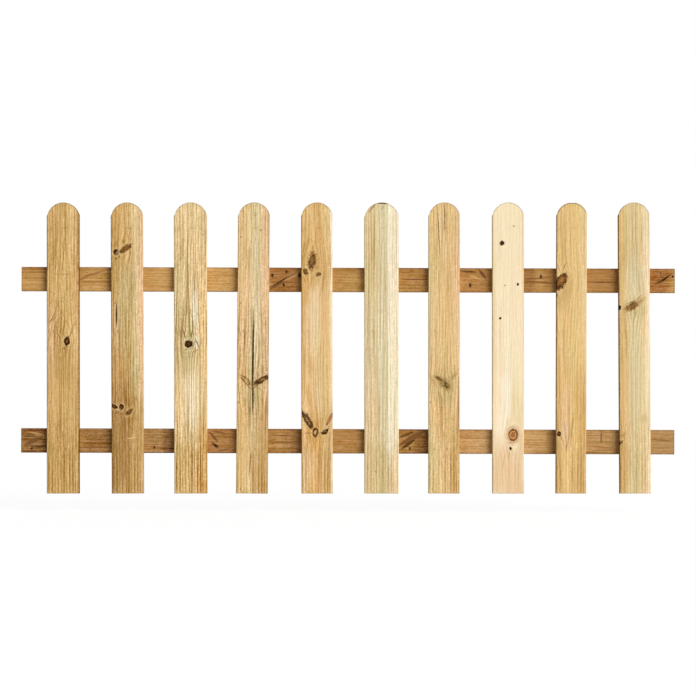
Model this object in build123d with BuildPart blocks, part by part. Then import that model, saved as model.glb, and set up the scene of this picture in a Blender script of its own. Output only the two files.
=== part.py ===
from build123d import *
from math import radians, tan
import os

# Picket fence panel: round-headed upright pales fixed to the front of two level rails. Millimetres.
# X runs along the panel, to the right as seen from the front. The front faces -Y, and Z is up.
# The origin is the middle of the lower rail's back face, the face that bears on the posts.

# Rails: planed softwood, square-cut at the ends, with eased arrises
RAIL_LENGTH = 1800.0
RAIL_HEIGHT = 67.0
RAIL_THICKNESS = 28.0
RAIL_ARRIS_RADIUS = 3.0
RAIL_SPACING = 445.0  # from the middle of the lower rail to the middle of the upper one

# Pales: planed softwood with eased arrises and a milled round head
PALE_LENGTH = 800.0
PALE_WIDTH = 88.0
PALE_THICKNESS = 20.0
PALE_ARRIS_RADIUS = 2.5
FOOT_DROP = 109.0  # how far the pales' feet hang below the lower rail, at its middle
END_OVERHANG = 73.0  # bare rail beyond the outermost pale, which laps the post

# Round head: an arc as wide as the pale, which runs out straight to each shoulder.
# It falls a little right of the pale's middle, so the left shoulder is the lower and sharper one.
HEAD_ARC_HALF_ANGLE = 68.0  # degrees of arc from the crown to where the straight run-out begins
CROWN_OFFSET = 1.0

# Each pale as it was planed and nailed, from the left:
# width over or under the nominal, sideways shift off the even spacing,
# and lean off square with the row, in degrees clockwise as seen from the front
PALE_FITS = (
    (1.5, -0.5, -0.03),
    (0.0, 2.0, -0.23),
    (2.5, 2.0, -0.11),
    (-1.0, -0.5, 0.42),
    (-2.0, 1.5, -0.09),
    (6.5, 5.0, -0.03),
    (-2.0, 3.0, 0.03),
    (-1.0, 5.0, -0.04),
    (-4.5, 5.0, 0.18),
    (-2.0, 4.5, -0.32),
)
PALE_COUNT = len(PALE_FITS)

# The row of pales was nailed a little out of square with the rails: its angle to them, in degrees clockwise
ROW_ANGLE = -0.164

# Blanks sawn a little short, which leaves a flat on the crown: pale number and shortfall
SHORT_BLANKS = {6: 0.3, 9: 1.4}

# Drying checks, open V-shaped splits along the grain of a pale's front face:
# pale number, distance right of its middle, height of the check's middle above the foot,
# length, width at the surface and depth
DRYING_CHECKS = (
    (2, -29.0, 492.0, 66.0, 1.6, 3.0),
    (4, 1.0, 366.0, 270.0, 2.2, 6.0),
)

# Places worked out from the sizes above
foot_height = -RAIL_HEIGHT / 2 - FOOT_DROP
first_pale_x = -RAIL_LENGTH / 2 + END_OVERHANG + PALE_WIDTH / 2
pale_pitch = -2 * first_pale_x / (PALE_COUNT - 1)

os.makedirs("parts", exist_ok=True)


def export_piece(solid, name):
    """Labels one finished piece and writes it to its own STEP file."""
    solid.label = name
    export_step(solid, f"parts/{name}.step")


def make_rail(height):
    """A rail with its middle at this height: a rounded section drawn on its left end, run along X."""
    left_end = Plane(
        origin=(-RAIL_LENGTH / 2, -RAIL_THICKNESS / 2, height),
        x_dir=(0, 1, 0),
        z_dir=(1, 0, 0),
    )
    with BuildPart() as rail:
        with BuildSketch(left_end):
            RectangleRounded(RAIL_THICKNESS, RAIL_HEIGHT, RAIL_ARRIS_RADIUS)
        extrude(amount=RAIL_LENGTH)
    return rail.part


def pale_front(index):
    """The plane of a pale's front face: origin at the middle of its foot, x to the right, y up the pale."""
    _, shift, lean = PALE_FITS[index]
    along_row = first_pale_x + index * pale_pitch + shift
    middle = Vector(
        along_row,
        -RAIL_THICKNESS - PALE_THICKNESS,
        foot_height + PALE_LENGTH / 2 - along_row * tan(radians(ROW_ANGLE)),
    )
    upright = Plane(origin=middle, x_dir=(1, 0, 0), z_dir=(0, -1, 0))
    leaning = upright.rotated((0, lean + ROW_ANGLE, 0))
    return leaning.shift_origin(middle - leaning.y_dir * PALE_LENGTH / 2)


def make_check_cutter(front, across, height, length, width, depth):
    """The wedge that a check opens: the rim of a thin V-edged disc, deepest and widest at its middle."""
    rim_radius = (length**2 / 4 + depth**2) / (2 * depth)
    disc_centre = front.from_local_coords((across, height, rim_radius - depth))
    section = Plane(origin=disc_centre, x_dir=-front.z_dir, z_dir=front.y_dir)
    with BuildPart() as cutter:
        with BuildSketch(section):
            with BuildLine():
                Polyline(
                    (rim_radius, 0),
                    (rim_radius - 2 * depth, width),
                    (rim_radius - 2 * depth, -width),
                    close=True,
                )
            make_face()
        revolve(axis=Axis(disc_centre, front.x_dir))
    return cutter.part


def head_run_out(arc_end, side):
    """Where the straight line that leaves the head's arc at this point meets the side of the pale."""
    across = abs(side - arc_end.X)
    return side, arc_end.Y - across * tan(radians(HEAD_ARC_HALF_ANGLE))


def make_pale(index):
    """A pale: planed stock with eased arrises, its head milled round, and any drying check opened."""
    number = index + 1
    half_width = (PALE_WIDTH + PALE_FITS[index][0]) / 2
    front = pale_front(index)
    with BuildPart() as pale:
        foot = Plane(
            origin=front.origin - front.z_dir * PALE_THICKNESS / 2,
            x_dir=front.x_dir,
            z_dir=front.y_dir,
        )
        with BuildSketch(foot):
            RectangleRounded(2 * half_width, PALE_THICKNESS, PALE_ARRIS_RADIUS)
        extrude(amount=PALE_LENGTH - SHORT_BLANKS.get(number, 0))
        with BuildSketch(front):
            with BuildLine():
                arc = CenterArc(
                    center=(CROWN_OFFSET, PALE_LENGTH - half_width),
                    radius=half_width,
                    start_angle=90 - HEAD_ARC_HALF_ANGLE,
                    arc_size=2 * HEAD_ARC_HALF_ANGLE,
                )
                Polyline(
                    arc @ 1,
                    head_run_out(arc @ 1, -half_width),
                    (-half_width, 0),
                    (half_width, 0),
                    head_run_out(arc @ 0, half_width),
                    arc @ 0,
                )
            make_face()
        extrude(amount=-PALE_THICKNESS, mode=Mode.INTERSECT)
        for check_number, *check in DRYING_CHECKS:
            if check_number == number:
                add(make_check_cutter(front, *check), mode=Mode.SUBTRACT)
    return pale.part


export_piece(make_rail(0), "lower_rail")
export_piece(make_rail(RAIL_SPACING), "upper_rail")
for index in range(PALE_COUNT):
    export_piece(make_pale(index), f"pale_{index + 1:02d}")
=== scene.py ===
from math import cos, pi, radians, sin
from typing import NamedTuple

import bmesh
import bpy
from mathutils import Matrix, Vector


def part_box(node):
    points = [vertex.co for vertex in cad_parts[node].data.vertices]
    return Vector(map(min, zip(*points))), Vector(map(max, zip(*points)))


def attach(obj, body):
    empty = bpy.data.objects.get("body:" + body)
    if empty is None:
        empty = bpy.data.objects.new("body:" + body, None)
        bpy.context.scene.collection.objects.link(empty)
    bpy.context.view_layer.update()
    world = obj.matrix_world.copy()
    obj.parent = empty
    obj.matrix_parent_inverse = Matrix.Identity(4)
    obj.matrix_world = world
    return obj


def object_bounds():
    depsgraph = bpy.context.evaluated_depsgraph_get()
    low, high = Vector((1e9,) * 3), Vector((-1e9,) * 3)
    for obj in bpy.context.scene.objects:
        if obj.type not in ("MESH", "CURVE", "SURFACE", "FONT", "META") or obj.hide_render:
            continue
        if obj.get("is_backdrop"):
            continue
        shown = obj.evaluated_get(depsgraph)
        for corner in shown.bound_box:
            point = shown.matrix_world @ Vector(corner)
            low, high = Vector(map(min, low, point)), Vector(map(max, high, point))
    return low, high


# Looks of the picket fence panel. Lengths are metres in the row frame, and millimetres on a board.
# On a board, "across" runs over its width, "along" follows the grain and "deep" goes in from the front.

MM = 0.001
NO_LIMIT = 1e5  # scale of a direction that a mark ignores
ROW_ANGLE = -0.164  # degrees clockwise that the row of pales stands off square with the rails

# Wood tones, as they look under plain white light: red, green and blue from 0 to 255
IVORY = (250, 237, 210)
CREAM = (245, 225, 188)
STRAW = (231, 201, 150)
GOLD = (230, 195, 132)
HONEY = (226, 189, 132)
PINK = (231, 195, 150)
ROSE = (238, 201, 163)
OLIVE = (223, 199, 149)
LICHEN = (224, 209, 170)
MOSS = (205, 184, 132)
AMBER = (216, 170, 106)
TAN = (210, 171, 112)
TOFFEE = (196, 157, 97)
BROWN = (170, 130, 76)
RUST = (150, 104, 56)
UMBER = (112, 74, 34)
# BARK is also the painted shade inside the splits of pales 2 and 4
BARK = (44, 25, 6)
CARAMEL = (206, 164, 102)
FUDGE = (200, 158, 98)
SAND = (200, 160, 104)
WHEAT = (238, 207, 157)
CLAY = (203, 164, 112)
FAWN = (204, 172, 126)
SHELL = (232, 203, 165)
OAT = (220, 189, 140)
MILK = (243, 227, 193)
BUFF = (229, 193, 149)
RAIL_GOLD = (208, 163, 102)
RAIL_TAN = (192, 147, 87)
RAIL_BROWN = (168, 120, 65)
RAIL_RED = (160, 108, 57)
RAIL_DARK = (118, 77, 38)
RAIL_BUFF = (199, 158, 106)
RAIL_OAT = (184, 145, 94)
RAIL_FAWN = (182, 136, 86)
RAIL_SAND = (176, 138, 90)
RAIL_NUT = (170, 124, 78)
RAIL_CLAY = (167, 128, 82)
RAIL_EARTH = (164, 116, 70)
RAIL_COCOA = (160, 116, 70)


class Knot(NamedTuple):
    """A branch cut through by the face: an ellipse, its long axis turned up from the across direction."""
    across: float
    along: float
    long: float
    short: float
    turn: float = 0.0
    kind: str = "brown"
    bend: float = 1.0  # how strongly the grain flows round it; 0 for a speck


class Swell(NamedTuple):
    """A rise of the year rings towards the face, which shows as nested arches or ovals."""
    across: float
    along: float
    wide: float
    tall: float
    rise: float


class Streak(NamedTuple):
    """A narrow mark that tapers to both ends: a split with painted shade inside it, a resin line or a planer
    mark.
    """
    across: float
    along: float
    length: float
    width: float
    turn: float = 0.0  # degrees from the grain towards the across direction
    tone: tuple = UMBER
    strength: float = 0.8
    waver: float = 1.0  # how much the line wanders


class Patch(NamedTuple):
    """A soft-edged area of another tone, such as sapwood, a stain from the treatment or a painted shadow."""
    across: float
    along: float
    wide: float
    tall: float
    tone: tuple
    strength: float = 0.7


class Calm(NamedTuple):
    """A stretch along the board where the grain is fainter, or bolder where the share is below 0."""
    along: float
    reach: float
    share: float


class Board(NamedTuple):
    """How one board was cut from the tree and what shows on it. Its knots, swells, streaks, patches and
    calms are rows of values, in the order in which the class of that name lists them."""
    bands: tuple  # (place over the width from 0 to 1, tone), from one edge to the other
    pith: tuple = (0.0, 40.0, 60.0)  # the tree's middle: across, and its depth at the two ends
    ring: float = 4.3  # width of a year's growth
    grain: float = 0.6  # how dark the year rings are
    contrast: float = 1.0  # how strongly the grain stands out
    dashes: float = 1.0  # how strongly short dark resin dashes stand out
    lean: float = 0.0  # degrees clockwise off the row, as the board was nailed
    edges: tuple = (0.2, 0.1)  # how dark the painted shade is along its left and its right long edge
    knots: tuple = ()
    swells: tuple = ()
    streaks: tuple = ()
    patches: tuple = ()
    calms: tuple = ()


# What each pale shows, numbered from the left. Places are from the middle of its width and up from its foot.
PALE_1 = Board(
    bands=((0, TAN), (0.3, TAN), (0.42, TOFFEE), (0.55, TAN), (0.8, HONEY), (1, TAN)),
    pith=(0, 34, 52),
    ring=4.1,
    contrast=1.1,
    lean=-0.03,
    edges=(0.3, 1),
    calms=((290, 130, 0.35), (640, 110, -0.1)),
    knots=((10.5, 419, 15, 21, 0, "dark"),),
    swells=((-8, 440, 26, 90, 16),),
    streaks=(
        (-3, 603, 64, 2.6, 90, BROWN, 0.6), (-8, 529, 56, 2.4, 90, BROWN, 0.4),
        (-8, 730, 170, 6, 1, TOFFEE), (-16, 735, 150, 2.6, 0, RUST, 0.5), (8, 730, 160, 2.6, 0, RUST),
        (14, 730, 140, 2.4, 0, BROWN, 0.5), (-26, 650, 100, 2.6, -2, BROWN, 0.5),
        (1, 645, 90, 2.6, 7, RUST, 0.6), (9, 402, 24, 3, 74), (4, 428, 40, 2.6, -24, BROWN),
        (23, 440, 56, 2.6, 22, BROWN, 0.7), (-13, 470, 90, 2.6, 14, BROWN, 0.6),
        (-28, 470, 100, 2.6, 12, BROWN, 0.5), (-24, 497, 78, 2.6, 21, RUST, 0.7),
        (-30, 488, 60, 2.2, 24, STRAW, 0.5), (-18, 484, 70, 2.2, 20, STRAW, 0.4),
        (-34, 466, 50, 2.2, 28, STRAW, 0.5), (-33, 478, 44, 2.6, 40, RUST, 0.6),
        (-26, 480, 30, 2.4, 44, RUST, 0.6), (-20, 462, 50, 2.6, 18, BROWN),
        (-13, 440, 56, 2.8, -16, RUST, 0.7), (-6, 430, 50, 2.2, -24, STRAW, 0.5),
        (0, 445, 60, 2.6, -20, BROWN, 0.7), (6, 480, 90, 2.6, -26, BROWN, 0.6),
        (17, 445, 40, 2.4, 26, STRAW, 0.6), (20, 436, 34, 2.6, 30, RUST, 0.7),
        (25, 455, 40, 2.6, 22, RUST, 0.6),
    ),
    patches=(
        (-34, 400, 14, 110, PINK, 0.5), (0, 300, 60, 100, TOFFEE, 0.4), (2, 640, 20, 190, GOLD, 0.45),
        (34, 560, 14, 110, CARAMEL, 0.6), (34, 250, 14, 110, FUDGE, 0.5), (-30, 250, 14, 110, SAND, 0.4),
        (6, 380, 22, 110, TOFFEE, 0.8), (0, 90, 60, 140, TOFFEE, 0.8), (16, 450, 10, 40, GOLD, 0.5),
        (-10, 255, 26, 60, GOLD, 0.3),
    ),
)
PALE_2 = Board(
    bands=((0, TOFFEE), (0.3, TAN), (0.55, TAN), (0.72, OLIVE), (0.85, PINK), (1, PINK)),
    pith=(10, 62, 46),
    ring=4.2,
    contrast=1.05,
    dashes=1.3,
    lean=-0.23,
    calms=((110, 130, 0.22), (640, 110, -0.06)),
    edges=(0.9, 0),
    knots=(
        (-28, 664, 14, 15, 0, "dark", 0.8), (-3, 674, 34, 15, 34, "brown", 0.9),
        (-16.6, 238, 13, 14, 0, "dark", 0.8), (5, 225, 22, 11, 42, "brown", 0.7),
        (-21, 652, 5, 5, 0, "speck", 0), (-30, 647, 6, 5, 0, "speck", 0),
        (-39, 241, 24, 9, -28, "dark", 0.3),
    ),
    streaks=(
        # The first streak, in BARK, is painted shade inside the split in this pale
        (-29, 492, 74, 3.8, 0, BARK, 0.9, 0.3), (-34, 700, 60, 3, -22, RUST, 0.5),
        (8, 710, 60, 2.6, 14, BROWN, 0.6), (16, 254, 40, 6, 40, BROWN, 0.7),
        (-26, 224, 44, 3, 68, UMBER, 0.7), (-10, 213, 34, 3, 98, BROWN, 0.7),
        (-9, 60, 120, 3.4, 8, RUST, 0.6), (-1, 70, 130, 2.8, -6, BROWN, 0.6), (12, 152, 30, 3, 82, HONEY),
        (18, 158, 14, 2.6, 10, HONEY), (-26, 590, 60, 2.6, 2, BROWN, 0.5),
        (18, 575, 70, 2.6, 4, BROWN, 0.5),
    ),
    patches=(
        (-16, 150, 50, 200, BROWN, 0.95), (28, 130, 30, 180, TOFFEE, 0.85),
        (-8, 500, 22, 150, MOSS, 0.75), (0, 410, 20, 120, TOFFEE, 0.45), (-30, 590, 16, 80, TOFFEE, 0.4),
        (4, 740, 16, 70, HONEY, 0.5), (22, 360, 14, 90, MOSS, 0.5), (-30, 760, 26, 90, AMBER, 0.4),
        (-34, 430, 16, 100, PINK, 0.35), (-30, 360, 16, 70, TOFFEE, 0.5),
    ),
)
PALE_3 = Board(
    bands=((0, STRAW), (0.25, STRAW), (0.45, OLIVE), (0.6, STRAW), (0.8, STRAW), (1, STRAW)),
    pith=(70, 24, 50),
    ring=4.8,
    grain=0.7,
    contrast=1.45,
    dashes=0.35,
    lean=-0.11,
    calms=((290, 120, 0.28), (470, 100, -0.15), (110, 120, -0.08)),
    edges=(0.1, 0.15),
    knots=(
        (-5.4, 412, 18, 18, 0, "dead", 1.3), (-12, 396, 4.5, 4.5, 0, "speck", 0),
    ),
    streaks=(
        (-7, 610, 280, 3.4, -0.6, BROWN, 0.9), (-9, 560, 150, 3, 1, RUST, 0.6),
        (10, 412, 36, 3.4, 22, UMBER, 0.75), (19, 412, 36, 3.2, -22), (14, 392, 22, 3, 64, BROWN),
        (-17, 438, 44, 3.4, -18, UMBER, 0.75), (4, 442, 36, 3, 14, UMBER, 0.7),
        (-27, 430, 70, 3, -8, BROWN, 0.7), (-34, 440, 130, 3, 3, BROWN, 0.6),
        (24, 300, 300, 3.4, 0, AMBER, 0.7), (-5, 386, 26, 2.4, 0, UMBER, 0.7),
        (-21, 470, 100, 2.8, 9, BROWN, 0.7), (-14, 480, 80, 2.4, 8, RUST, 0.6),
        (-24, 400, 60, 2.8, -4, BROWN, 0.7), (8, 470, 90, 2.4, -14, BROWN, 0.6),
        (26, 400, 60, 2.6, 4, BROWN, 0.6), (27, 280, 280, 2.6, 0, BROWN, 0.5),
    ),
    patches=(
        (-14, 400, 34, 110, MOSS, 0.65), (-32, 560, 12, 120, MOSS, 0.45), (3, 250, 24, 110, CREAM, 0.9),
        (10, 505, 9, 60, IVORY), (12, 415, 9, 20, IVORY, 0.8), (33, 470, 9, 170, GOLD, 0.6),
        (-4, 60, 60, 120, TAN, 0.85), (32, 90, 18, 150, AMBER, 0.9), (0, 700, 44, 120, WHEAT, 0.6),
    ),
)
PALE_4 = Board(
    bands=((0, HONEY), (0.3, HONEY), (0.42, OLIVE), (0.62, OLIVE), (0.75, PINK), (1, PINK)),
    pith=(-14, 70, 84),
    ring=3.9,
    contrast=1.3,
    lean=0.42,
    calms=((650, 150, 0.32), (105, 130, 0.42)),
    edges=(0.25, 0.3),
    knots=(
        (-18, 311, 40, 13, -42, "wing", 0.6), (26, 313, 44, 13, 30, "spike", 0.7),
        (19.3, 724, 5, 5, 0, "speck", 0), (-35, 705, 4, 4, 0, "speck", 0),
    ),
    streaks=(
        # The two BARK streaks that start this row are painted shade inside the split in this pale
        (0.5, 374, 286, 4.8, 0, BARK, 1, 0.2), (1, 264, 96, 4.4, 0, BARK, 0.95, 0.3),
        (-6, 77, 60, 3, 4, RUST), (-5, 98, 26, 2.4, 0, UMBER, 0.6), (-12, 640, 110, 2.6, 1, BROWN, 0.5),
        (16, 670, 120, 2.4, 0, TOFFEE, 0.7), (-14, 297, 40, 2.6, -48, UMBER, 0.7),
        (12, 298, 26, 3, 48, UMBER, 0.9), (0, 290, 30, 5, 0, UMBER, 0.5),
        (10, 305, 24, 2.4, 90, BROWN, 0.4),
    ),
    patches=(
        (9, 640, 12, 200, LICHEN, 0.5), (-22, 500, 22, 150, PINK, 0.6), (8, 440, 12, 110, CREAM, 0.5),
        (24, 180, 34, 130, CLAY, 0.9), (28, 390, 20, 110, FAWN), (-30, 220, 14, 100, TAN, 0.5),
        (8, 210, 14, 60, STRAW, 0.4), (28, 50, 30, 110, TOFFEE, 0.9), (0, 105, 60, 100, TAN, 0.25),
        (-4, 270, 30, 40, MOSS, 0.6), (-24, 710, 18, 120, STRAW, 0.6),
    ),
)
PALE_5 = Board(
    bands=(
        (0, TAN), (0.12, AMBER), (0.5, AMBER), (0.72, HONEY), (0.84, HONEY), (0.9, CREAM), (1, CREAM),
    ),
    pith=(-4, 58, 60),
    ring=4.4,
    contrast=0.9,
    dashes=0.6,
    lean=-0.09,
    calms=((470, 130, 0.42), (290, 110, 0.2), (640, 100, -0.1)),
    edges=(0.7, 0),
    knots=(
        (-13, 638, 44, 20, 80, "brown", 1.1), (-31, 610, 19, 12, 118, "brown", 0.8),
        (4.7, 603, 14, 10, 20, "brown", 0.6), (-25, 200, 56, 15, -58, "spike", 0.7),
        (-4.5, 169, 18, 25, 0, "ring", 0.8), (22, 170, 18, 12, 36, "dark", 0.6),
        (35, 205, 44, 9, 62, "red", 0.3),
    ),
    streaks=(
        (-11, 668, 34, 3, 4, UMBER, 0.7), (22, 60, 190, 2.6, -1, BROWN, 0.6),
        (10, 60, 170, 2.6, 0, BROWN, 0.6), (34, 70, 190, 2.6, 0, RUST, 0.5),
        (-30, 90, 140, 2.6, 2, BROWN, 0.5), (0, 166, 90, 4, 90, RUST, 0.5),
        (-42, 225, 60, 4, -20, UMBER, 0.6), (27, 176, 30, 3, 40, UMBER, 0.6),
    ),
    patches=(
        (-8, 460, 18, 130, CREAM, 0.55), (-2, 310, 22, 110, STRAW), (24, 350, 20, 150, HONEY, 0.5),
        (-14, 620, 40, 50, TAN, 0.6), (-30, 225, 26, 60, STRAW, 0.5), (20, 200, 30, 60, TAN, 0.6),
        (24, 60, 26, 110, TAN, 0.6), (-26, 400, 16, 110, STRAW, 0.5), (2, 250, 16, 50, STRAW, 0.5),
        (-30, 60, 24, 90, PINK), (-18, 745, 28, 70, HONEY, 0.8),
    ),
)
PALE_6 = Board(
    bands=((0, OLIVE), (0.3, OLIVE), (0.5, LICHEN), (0.67, LICHEN), (0.71, IVORY), (1, CREAM)),
    pith=(110, 30, 34),
    ring=5.8,
    grain=0.8,
    contrast=0.78,
    dashes=0.5,
    lean=-0.03,
    edges=(0.25, 0),
    calms=((110, 130, -0.1), (470, 120, -0.08)),
    knots=((-16, 60, 4, 4, 0, "speck", 0),),
    streaks=(
        (-20, 660, 280, 3, 0.4, RUST, 0.6), (-34, 560, 420, 2.6, 0, BROWN, 0.5),
        (-27, 640, 250, 2.4, 0, BROWN, 0.5), (-12, 420, 600, 3, 0, MOSS), (6, 420, 700, 3.4, 0.4, MOSS),
        (-3, 560, 300, 2.6, 0, BROWN, 0.5), (14, 360, 500, 2.6, 0, MOSS, 0.5),
        (-28, 230, 360, 2.6, 0, BROWN, 0.5), (4, 798, 44, 4, 90, UMBER, 1),
        (3, 786, 16, 3, 20, RUST, 0.6), (-24, 786, 40, 3, 40, UMBER, 0.7),
    ),
    patches=(
        (4, 380, 14, 200, LICHEN), (-32, 260, 16, 160, SHELL, 0.6), (-10, 40, 50, 110, OAT),
        (2, 60, 26, 110, MOSS, 0.8), (-2, 400, 12, 140, IVORY, 0.3), (-38, 720, 10, 120, STRAW, 0.4),
        (36, 60, 16, 110, STRAW, 0.6), (-26, 400, 18, 160, LICHEN, 0.5), (34, 420, 16, 300, MILK),
    ),
)
PALE_7 = Board(
    bands=((0, OLIVE), (0.2, HONEY), (0.5, HONEY), (0.7, HONEY), (1, PINK)),
    pith=(-7, 34, 54),
    ring=4.1,
    contrast=0.85,
    dashes=0.9,
    lean=0.03,
    calms=((470, 130, 0.25), (290, 110, -0.12), (110, 130, -0.2)),
    edges=(0.15, 0.15),
    knots=(
        (3, 301, 32, 20, -44, "olive", 0.8), (-14, 316, 22, 9, -30, "olive", 0.3),
        (-31, 312, 30, 10, -64, "cloud", 0.2), (26, 322, 34, 10, 50, "cloud", 0.2),
    ),
    streaks=(
        (-15, 722, 160, 2.2, -3, UMBER, 0.95), (1, 762, 86, 2.4, -1, UMBER, 0.9),
        (7, 750, 100, 1.6, -3, BROWN, 0.7), (-5, 700, 190, 2.4, 0, BROWN, 0.5),
        (-14, 560, 200, 2.4, -1, BROWN, 0.4), (-3, 180, 200, 2.6, 0, BROWN, 0.5),
        (40, 240, 190, 3, 0, RUST, 0.7), (6, 290, 34, 3, -24), (-5, 308, 26, 3, -60, BROWN),
        (-34, 305, 60, 2.6, -6, TOFFEE, 0.7),
    ),
    patches=(
        (-30, 730, 14, 120, GOLD), (-16, 440, 18, 150, STRAW, 0.5), (0, 290, 34, 60, MOSS, 0.6),
        (30, 80, 24, 150, TAN, 0.9), (2, 80, 14, 110, STRAW, 0.4), (-24, 90, 16, 120, OLIVE, 0.5),
        (-8, 700, 22, 110, STRAW, 0.6),
    ),
)
PALE_8 = Board(
    bands=((0, STRAW), (0.07, CREAM), (0.5, CREAM), (0.93, CREAM), (1, STRAW)),
    pith=(-4, 1, 24),
    ring=3.9,
    grain=0.42,
    contrast=0.27,
    dashes=0.5,
    lean=-0.04,
    calms=((470, 130, -0.25), (290, 110, -0.15), (110, 110, -0.2)),
    edges=(0.3, 0.1),
    knots=(
        (13.5, 161, 28, 36, 0, "red"), (-16.8, 688, 11, 11, 45, "dead", 0.3),
        (27, 575, 5, 7, 0, "dot", 0.2), (-21.6, 482, 6, 6, 0, "dot", 0.2), (16, 735, 4, 4, 0, "speck", 0),
        (-8.7, 572, 4, 3, 0, "speck", 0), (6.4, 124, 6, 8, 30, "dot", 0.2),
    ),
    streaks=(
        (12, 140, 34, 3.4, 84, RUST, 0.7), (20, 142, 24, 3, 50, AMBER),
        (3, 108, 30, 2.6, 12, TOFFEE, 0.7), (-2, 190, 40, 2.6, 8, AMBER, 0.6),
        (-12, 90, 60, 2.6, 10, TOFFEE, 0.5),
    ),
    patches=(
        (-6, 250, 14, 100, IVORY, 0.9), (-4, 120, 20, 40, IVORY, 0.5), (0, 50, 60, 120, BUFF, 0.85),
        (-2, 330, 7, 190, IVORY, 0.6), (-12, 195, 12, 60, IVORY, 0.8), (24, 220, 18, 80, STRAW, 0.5),
        (-40, 400, 8, 300, STRAW, 0.3),
    ),
)
PALE_9 = Board(
    bands=((0, TAN), (0.08, GOLD), (0.3, HONEY), (0.55, GOLD), (0.85, GOLD), (1, STRAW)),
    pith=(-10, 66, 48),
    ring=4.2,
    grain=0.5,
    contrast=0.7,
    dashes=0.7,
    lean=0.18,
    calms=((470, 130, 0.15), (290, 110, 0.1), (110, 110, -0.08)),
    edges=(0.7, 0.05),
    knots=(
        (-28, 585, 46, 25, 62, "leaf", 1.2), (-33, 164, 9, 12, 0, "dark", 0.6),
        (-41, 544, 6, 10, 0, "speck", 0),
    ),
    streaks=(
        (-30, 730, 130, 2.4, 0, TOFFEE, 0.7), (-24, 700, 190, 2.4, 0.5, TOFFEE, 0.6),
        (-16, 690, 200, 2.4, 0, TOFFEE, 0.5), (-20, 622, 30, 2.6, 20, UMBER, 0.7),
        (-36, 620, 24, 2.6, -20, UMBER, 0.5), (-26, 153, 60, 2.6, -20, RUST, 0.6),
        (-17, 180, 100, 2.4, -6, BROWN, 0.6), (-5, 160, 90, 2.4, 12, RUST, 0.5),
        (3, 176, 110, 2.8, 6, BROWN, 0.7), (-13, 128, 24, 3, 0, RUST, 0.7),
        (-30, 60, 110, 2.8, -5, BROWN, 0.6), (34, 270, 130, 3, 3, BROWN, 0.6),
        (0, 799, 30, 4, 90, UMBER, 1),
    ),
    patches=(
        (-17, 176, 12, 50, ROSE, 0.9), (-17, 252, 10, 50, PINK), (28, 170, 20, 210, AMBER, 0.8),
        (-38, 120, 14, 190, TAN, 0.8), (-30, 560, 20, 50, TOFFEE, 0.6), (32, 660, 16, 200, STRAW, 0.5),
        (-34, 40, 14, 80, TAN), (28, 60, 26, 90, TAN, 0.8), (-34, 230, 16, 140, TAN),
        (30, 560, 16, 260, STRAW, 0.4),
    ),
)
PALE_10 = Board(
    bands=((0, TAN), (0.1, GOLD), (0.35, OLIVE), (0.6, OLIVE), (0.75, STRAW), (0.9, CREAM), (1, STRAW)),
    pith=(90, 34, 26),
    ring=5,
    grain=0.8,
    contrast=0.66,
    dashes=0.5,
    lean=-0.32,
    calms=((290, 130, 0.26), (110, 120, -0.28)),
    edges=(0.8, 0),
    knots=(
        (-5, 516, 36, 17, 26), (18, 530, 24, 12, 36, "cloud", 0.4), (-24, 508, 20, 10, 20, "cloud", 0.3),
        (-41, 511, 8, 11, 0, "dead", 0.5), (-33, 160, 18, 10, 50, "cloud", 0.4),
        (-39, 140, 14, 8, 50, "brown", 0.3), (24, 205, 22, 26, 0, "green", 0.3),
    ),
    streaks=(
        (-24, 700, 240, 3.4, 0, MOSS, 0.9), (-13, 700, 250, 3, 0, MOSS, 0.9),
        (-3, 690, 260, 2.6, 0, BROWN, 0.5), (6, 680, 240, 2.4, 0, BROWN, 0.6),
        (20, 700, 90, 2.6, 2, BROWN, 0.6), (-20, 240, 330, 2.8, 0, MOSS), (-8, 230, 420, 2.8, 0, MOSS),
        (4, 220, 400, 2.6, 0, MOSS, 0.7), (-6, 528, 44, 3, 66, UMBER, 0.6),
        (-12, 504, 40, 3, 70, UMBER, 0.6), (10, 536, 30, 2.6, 40, UMBER, 0.6),
    ),
    patches=(
        (-32, 460, 12, 50, GOLD, 0.8), (0, 600, 22, 60, LICHEN, 0.6), (-4, 505, 26, 26, MOSS),
        (-30, 80, 18, 130, TAN, 0.8), (26, 140, 18, 150, STRAW, 0.5), (-34, 40, 14, 80, TAN),
        (4, 300, 16, 200, LICHEN, 0.6), (-32, 330, 14, 400, TAN, 0.6), (2, 50, 22, 90, MOSS, 0.5),
    ),
)
PALES = (PALE_1, PALE_2, PALE_3, PALE_4, PALE_5, PALE_6, PALE_7, PALE_8, PALE_9, PALE_10)

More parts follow.
